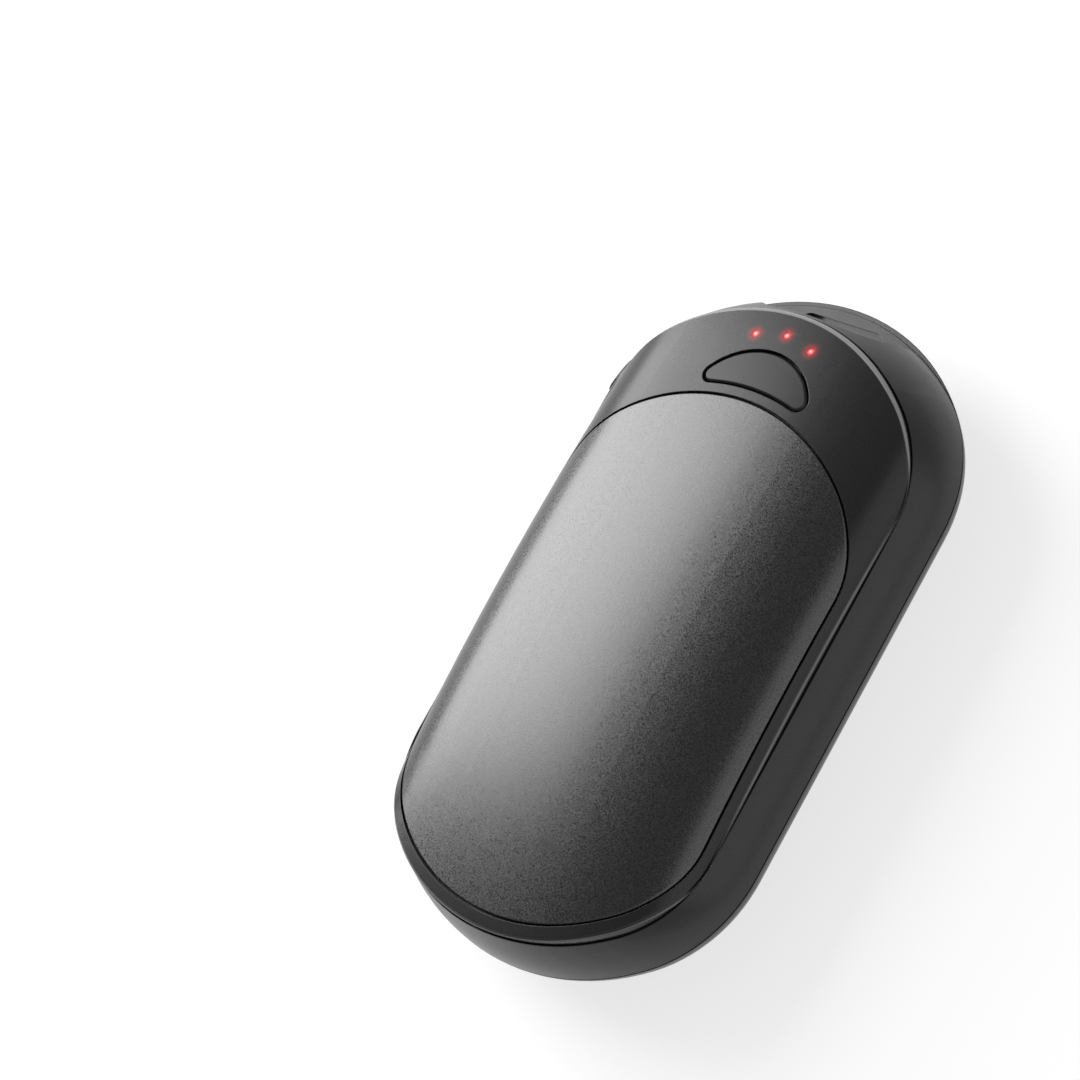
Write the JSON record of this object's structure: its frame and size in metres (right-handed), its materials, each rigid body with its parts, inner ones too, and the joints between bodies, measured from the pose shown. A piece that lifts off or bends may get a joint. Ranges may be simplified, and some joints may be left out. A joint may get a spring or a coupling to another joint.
{
  "type": "rechargeable hand warmer",
  "caption": "Pebble-shaped rechargeable hand warmer with crowned metal warming plates, a half-moon push button, status lights, a strap scoop and a soft flap over its charging inlet.",
  "frame": {"origin": "middle of the flat of the back, on the surface that the hand warmer lies on", "axes": "+X to the right of the front, +Y to the button and strap end, +Z out of the front"},
  "size_m": [0.0603, 0.1018, 0.0233],
  "materials": {
    "plate_aluminium": "satin",
    "charcoal_plastic": "matte",
    "black_plastic": "matte",
    "soft_rubber": "matte",
    "clear_plastic": "gloss",
    "heater_film": "satin",
    "bead_glass": "gloss",
    "foam": "matte",
    "cell_wrap": "satin",
    "circuit_board": "satin",
    "wire_jacket": "satin",
    "chip_black": "matte",
    "led_lens": "gloss",
    "switch_red": "satin",
    "socket_steel": "satin"
  },
  "bodies": {
    "case": {"front_heat_plate": "plate_aluminium", "front_bezel": "charcoal_plastic", "mid_housing": "black_plastic", "rear_shell": "black_plastic", "light_guide": "clear_plastic", "port_cover_anchor": "soft_rubber", "rear_heat_plate": "plate_aluminium", "front_heater_film": "heater_film", "rear_heater_film": "heater_film", "front_thermistor": "bead_glass", "rear_thermistor": "bead_glass", "front_foam": "foam", "rear_foam": "foam", "battery_cell": "cell_wrap", "cell_protection_board": "circuit_board", "cell_tray": "black_plastic", "battery_leads": "wire_jacket", "main_board": "circuit_board", "controller_chip": "chip_black", "charger_chip": "chip_black", "boost_inductor": "chip_black", "status_leds": "led_lens", "switch_body": "chip_black", "usb_socket_shell": "socket_steel", "usb_socket_tongue": "chip_black", "front_heater_leads": "wire_jacket", "rear_heater_leads": "wire_jacket", "case_screws": "socket_steel", "board_screws": "socket_steel"},
    "button": {"power_button": "charcoal_plastic"},
    "plunger": {"switch_plunger": "switch_red"},
    "flap": {"port_cover": "soft_rubber"}
  },
  "joints": [
    {"name": "button_press", "type": "slide", "parent": "case", "child": "button", "axis": [0, 0, -1], "range_m": [0, 0.0004], "stiffness_N_per_m": 2000, "springref_m": -0.0002},
    {"name": "plunger_press", "type": "slide", "parent": "case", "child": "plunger", "axis": [0, 0, -1], "range_m": [0, 0.0004]},
    {"name": "flap_swing", "type": "hinge", "parent": "case", "child": "flap", "pos_m": [-0.01868, 0.045, 0.0121], "axis": [0, 0, -1], "range_deg": [0, 100]}
  ],
  "couplings": [
    {"joint": "plunger_press", "follows": "button_press", "ratio": 1}
  ]
}
